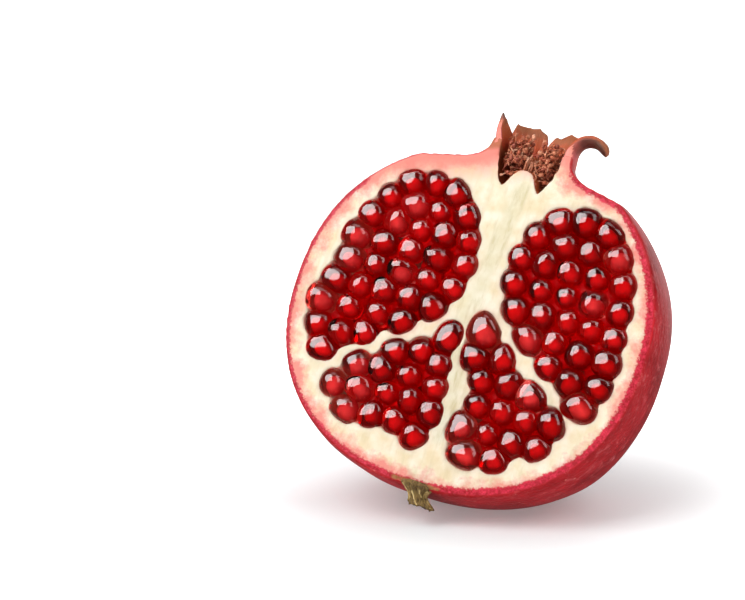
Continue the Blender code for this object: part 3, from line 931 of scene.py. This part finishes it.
def buildStamens(name, side, dice):
    bm = bmesh.new()
    shades = []
    wide, deep = stamens["reach"]
    low, high = stamens["heights"]
    middle = Vector((fruit["calyxAxis"].x + side * stamens["offset"],
                     fruit["calyxAxis"].y + 0.9, 0.0))
    for _ in range(stamens["count"]):
        around = dice.uniform(0.0, tau)
        out = dice.uniform(0.3, 1.0) ** 0.5
        height = dice.uniform(0.0, 0.62)
        swell = 0.45 + 0.55 * sin(pi * min(1.0, 0.25 + height))
        point = middle + onRing(around, wide * out * swell, deep * out * swell,
                                low + (high - low) * height)
        way = Vector((dice.gauss(0, 0.5), dice.gauss(-0.25, 0.5), dice.uniform(0.4, 1.0)))
        way.normalize()
        bend = Vector((dice.gauss(0, 0.28), dice.gauss(-0.05, 0.28), dice.gauss(-0.08, 0.2)))
        stepLength = dice.uniform(0.35, 0.62)
        points = [point]
        for _ in range(stamens["steps"]):
            stray = Vector([dice.gauss(0, stamens["stray"]) for _ in range(3)])
            way = (way + bend + stray).normalized()
            nextPoint = points[-1] + way * stepLength
            away = nextPoint - middle
            if hypot(away.x / wide, away.y / deep) > 1.0 or nextPoint.z > high:
                bend = -bend * 0.8
                way = (way - Vector((away.x, away.y, 0)).normalized() * 0.8).normalized()
                nextPoint = points[-1] + way * stepLength
            points.append(nextPoint)
        addThread(bm, points, stamens["thread"])
        if dice.random() < stamens["headed"]:
            long, short = stamens["head"]
            bead = bmesh.ops.create_icosphere(bm, subdivisions=1, radius=1.0)["verts"]
            turn = way.to_track_quat("Z", "X").to_matrix()
            grow = dice.uniform(0.8, 1.35)
            for vert in bead:
                lump = 1.0 + 0.25 * noise(vert.co * 2.0 + points[-1])
                vert.co = points[-1] + turn @ Vector((vert.co.x * short, vert.co.y * short,
                                                      vert.co.z * long)) * grow * lump
        tone = dice.random()
        shades += [tone] * (len(bm.verts) - len(shades))
    return shadedMesh(bm, name, shades)


def stamenMaterial():
    # dried stamens: dusty rose threads with browner pollen heads
    made, add, place = newMaterial("driedStamens")
    patch = add("TexNoise", {"Vector": place, "Scale": 700.0, "Detail": 3.0})
    ramp = shadeRamp(add, patch, ((0.12, "#6A2614"), (0.32, "#98472A"), (0.52, "#B87050"),
                                  (0.78, "#D29C80")))
    shader = add("BsdfPrincipled", {"Base Color": ramp, "Roughness": 0.6})
    add("OutputMaterial", {"Surface": shader})
    return made


def buildStyle(material):
    # what is left of the style: a torn bunch of tan fibres
    dice = random.Random(5)
    bm = bmesh.new()
    shades = []
    across, deep = style["footSpread"]
    for _ in range(style["fibres"]):
        foot = Vector(style["foot"]) + Vector((dice.uniform(-across, across),
                                               dice.uniform(-deep, deep), 0.0))
        tip = foot + Vector((dice.uniform(-0.7, 1.1), dice.uniform(-1.0, 0.5),
                             dice.uniform(*style["rise"])))
        bow = Vector((dice.uniform(-0.4, 0.4), dice.uniform(-0.4, 0.2), 0.0))
        points = [foot.lerp(tip, k / 7) + bow * sin(pi * k / 7) for k in range(8)]
        addThread(bm, points, dice.uniform(*style["thickness"]), sides=5)
        shades += [dice.uniform(0.75, 1.0)] * (len(bm.verts) - len(shades))
    finishPiece("style_remnant", shadedMesh(bm, "style", shades), [material],
                ["style"])


def buildCrown():
    dried, threads = lobeMaterial(), stamenMaterial()
    for name in lobes:
        finishPiece(f"{name}_lobe", lobeMesh(name), [dried], [name])
    for name, side in (("stamens_left", -1), ("stamens_right", 1)):
        mesh = buildStamens(name, side, random.Random(name))
        finishPiece(f"{name}_tuft", mesh, [threads], [name])
    buildStyle(threads)


buildCrown()
print("crown made")


stalk = {
    # x, y, z and radius down the stub
    "path": [(-0.3, -12.2, -40.2, 2.2), (-0.1, -12.1, -41.2, 3.7), (0.2, -11.8, -42.3, 2.9),
             (0.6, -11.5, -43.3, 2.3), (1.2, -11.2, -44.3, 2.5), (1.9, -11.1, -45.2, 3.0),
             (2.4, -11.1, -45.8, 2.9)],
    "flatness": 0.82,
    "ridges": (11, 0.12),  # how many, and how high for its radius
    "fibres": 34,
}


def buildStalk():
    dice = random.Random(11)
    bm = bmesh.new()
    count, height = stalk["ridges"]
    rings = []
    path = smoothCurve([(x, y, z) for x, y, z, _ in stalk["path"]], 4)
    sizes = smoothCurve([(r, 0, 0) for *_, r in stalk["path"]], 4)
    for k, (middle, size) in enumerate(zip(path, sizes)):
        ring = []
        for n in range(64):
            turn = tau * n / 64
            radius = size.x * (1.0 + height * sin(count * turn + 0.1 * k))
            spot = middle + onRing(turn, radius, radius * stalk["flatness"])
            spot += onRing(turn, 0.5, 0.5) * noise(
                Vector((spot.x, spot.y, spot.z * 0.35)) * 1.1)
            if k == len(path) - 1:
                spot.z += 0.7 * noise(spot * 1.3)
            ring.append(spot)
        rings.append(ring)
    loftRings(bm, rings)
    shades = [0.5] * len(bm.verts)
    for _ in range(stalk["fibres"]):
        turn = dice.uniform(0.0, tau)
        start = dice.randint(2, len(path) // 2)
        end = dice.randint(start + 6, len(path) - 1)
        points = []
        for k in range(start, end + 1):
            out = sizes[k].x * 1.04
            points.append(path[k] + onRing(turn, out, out * 0.84))
            turn += dice.uniform(-0.05, 0.05)
        addThread(bm, points, dice.uniform(0.16, 0.34), sides=5)
        shades += [dice.uniform(0.6, 1.0)] * (len(bm.verts) - len(shades))
    finishPiece("stalk_stub", shadedMesh(bm, "stalk", shades), [stalkMaterial()],
                ["stem_stub"])


def stalkMaterial():
    # stalk: dry olive-brown wood, torn into coarse fibres
    made, add, place = newMaterial("driedStalkWood")
    way = add("Mapping", {0: place, 3: (1.0, 1.0, 0.3)})
    grain = add("TexNoise", {"Vector": way, "Scale": 1500.0, "Detail": 4.0, "Roughness": 0.7})
    ramp = shadeRamp(add, grain, ((0.32, "#35220E"), (0.46, "#7A6030"), (0.6, "#AE9158"),
                                  (0.8, "#D2BE8A")))
    bump = add("Bump", {"Height": grain, "Strength": 0.8, "Distance": 0.0004})
    shader = add("BsdfPrincipled", {"Base Color": ramp, "Roughness": 0.75, "Normal": bump})
    add("OutputMaterial", {"Surface": shader})
    return made


buildStalk()
print("stalk made")


studio = {
    "floor": "#E6EBEC",
    "world": 0.3,  # light from all round
    "glossWorld": 0.12,  # what wet and shiny surfaces see between the softboxes
    "throughJuice": 0.9,  # what is seen through the sacs, with no softboxes in it
    "floorGlow": (0.22, 0.98, 0.03, 0.105),  # near and far, and between which distances in metres
    "lampsAim": 0.045,  # metres up
    "lamps": {
        # size, glow, azimuth, elevation, distance
        "key": (0.7, 2.9, -36.0, 43.0, 0.8),
        "side": (0.4, 2.0, 64.0, 42.0, 0.75),
        "back": (0.5, 1.5, 165.0, 50.0, 0.8),
    },
    "softboxes": {
        # azimuth, elevation, half width and height as tangents, turn, glow, softness of the edge
        "key": (-36.0, 43.0, 0.42, 0.36, 25.0, 19.0, 0.25),
        "side": (64.0, 42.0, 0.26, 0.4, -10.0, 7.0, 0.7),
        "top": (20.0, 80.0, 0.3, 0.16, 0.0, 4.2, 0.98),
        "rim": (176.0, 14.0, 0.4, 0.5, 0.0, 1.1, 0.98),
    },
}
lens = {
    "azimuth": 14.5,
    "elevation": 10.0,
    "focal": 100.0,
    "sensor": 36.0,
    "perMm": 4.06,  # steps across for each mm of the cut face
    "aim": (97.0, -26.0),  # where the cut face's middle sits, right and up of the centre
    "wide": 745.0,  # steps across the view
}


def fromAngles(azimuth, elevation):
    a, e = radians(azimuth), radians(elevation)
    return Vector((sin(a) * cos(e), -cos(a) * cos(e), sin(e)))


def buildStage():
    bm = bmesh.new()
    bmesh.ops.create_grid(bm, x_segments=1, y_segments=1, size=30.0)
    mesh = toMesh(bm, "floor")
    made, add, place = newMaterial("paleFloor")
    near, far, start, end = studio["floorGlow"]
    away = add("VectorMath", {0: place}, operation="LENGTH")
    glow = add("MapRange", {
        0: away, 1: start, 2: end, 3: near, 4: far}, interpolation_type="SMOOTHSTEP")
    shader = add("BsdfPrincipled", {
        "Base Color": studio["floor"], "Roughness": 0.6, "Emission Color": (1, 1, 1, 1),
        "Emission Strength": glow})
    add("OutputMaterial", {"Surface": shader})
    mesh.materials.append(made)
    floor = placed("floor", mesh)
    floor.visible_glossy = False  # keeps a white veil off the wet sacs
    buildWorld()
    for name, (size, glow, azimuth, elevation, away) in studio["lamps"].items():
        lamp = bpy.data.lights.new(name, "AREA")
        lamp.size = size
        lamp.energy = glow * pi * size ** 2  # watts for that glow
        holder = placed(name, lamp)
        out = fromAngles(azimuth, elevation)
        holder.location = out * away + Vector((0.0, 0.0, studio["lampsAim"]))
        holder.rotation_euler = out.to_track_quat("Z", "Y").to_euler()
        holder.visible_glossy = holder.visible_transmission = False  # the world has the softboxes


def buildWorld():
    # even white light, with softboxes in it that only shiny surfaces reflect
    world, add = emptied(bpy.data.worlds.new("studio"))
    way = add("TexCoord").outputs["Generated"]
    shine = studio["glossWorld"]
    for azimuth, elevation, wide, high, turn, glow, edge in studio["softboxes"].values():
        centre = fromAngles(azimuth, elevation)
        across = Matrix.Rotation(radians(turn), 3, centre) @ centre.cross(
            Vector((0, 0, 1))).normalized()
        upward = across.cross(centre)
        ahead = add("VectorMath", {0: way, 1: centre}, operation="DOT_PRODUCT")
        ahead = add("Math", {0: ahead, 1: 0.01}, operation="MAXIMUM")
        total = 0.0
        for axis, half in ((across, wide), (upward, high)):
            off = add("VectorMath", {0: way, 1: axis / half}, operation="DOT_PRODUCT")
            off = add("Math", {0: off, 1: ahead}, operation="DIVIDE")
            off = add("Math", {0: off}, operation="ABSOLUTE")
            off = add("Math", {0: off, 1: 5.0}, operation="POWER")
            total = add("Math", {0: off, 1: total}).outputs[0]
        lit = add("MapRange", {
            0: total, 1: 1.0 + edge, 2: 1.0 - edge, 4: glow}, interpolation_type="SMOOTHSTEP")
        shine = add("Math", {0: lit, 1: shine}).outputs[0]
    path = add("LightPath")
    strength = studio["world"]
    for ray, seen in (("Glossy", shine), ("Transmission", studio["throughJuice"]), ("Camera", 1)):
        strength = add("Mix", {
            0: path.outputs[f"Is {ray} Ray"], 2: strength, 3: seen}, data_type="FLOAT")
    light = add("Background", {0: (1, 1, 1, 1), 1: strength})
    add("OutputWorld", {"Surface": light})
    bpy.context.scene.world = world


def buildCamera():
    data = bpy.data.cameras.new("camera")
    data.lens, data.sensor_width = lens["focal"], lens["sensor"]
    data.clip_start, data.clip_end = 0.01, 20.0
    camera = placed("camera", data)
    back = fromAngles(lens["azimuth"], lens["elevation"])
    target = toRow @ Vector((0.0, -fruit["cutAt"], 0.0))
    perUnit = lens["focal"] / lens["sensor"] * lens["wide"]
    away = perUnit / lens["perMm"] * 0.001
    right, up = lens["aim"]
    aside = Matrix.Rotation(atan(right / perUnit), 4, "Y") @ Matrix.Rotation(
        -atan(up / perUnit), 4, "X")
    facing = back.to_track_quat("Z", "Y").to_matrix().to_4x4()
    camera.matrix_world = Matrix.Translation(target + back * away) @ facing @ aside
    bpy.context.scene.camera = camera


buildStage()
buildCamera()
bpy.context.scene.view_settings.view_transform = "Standard"
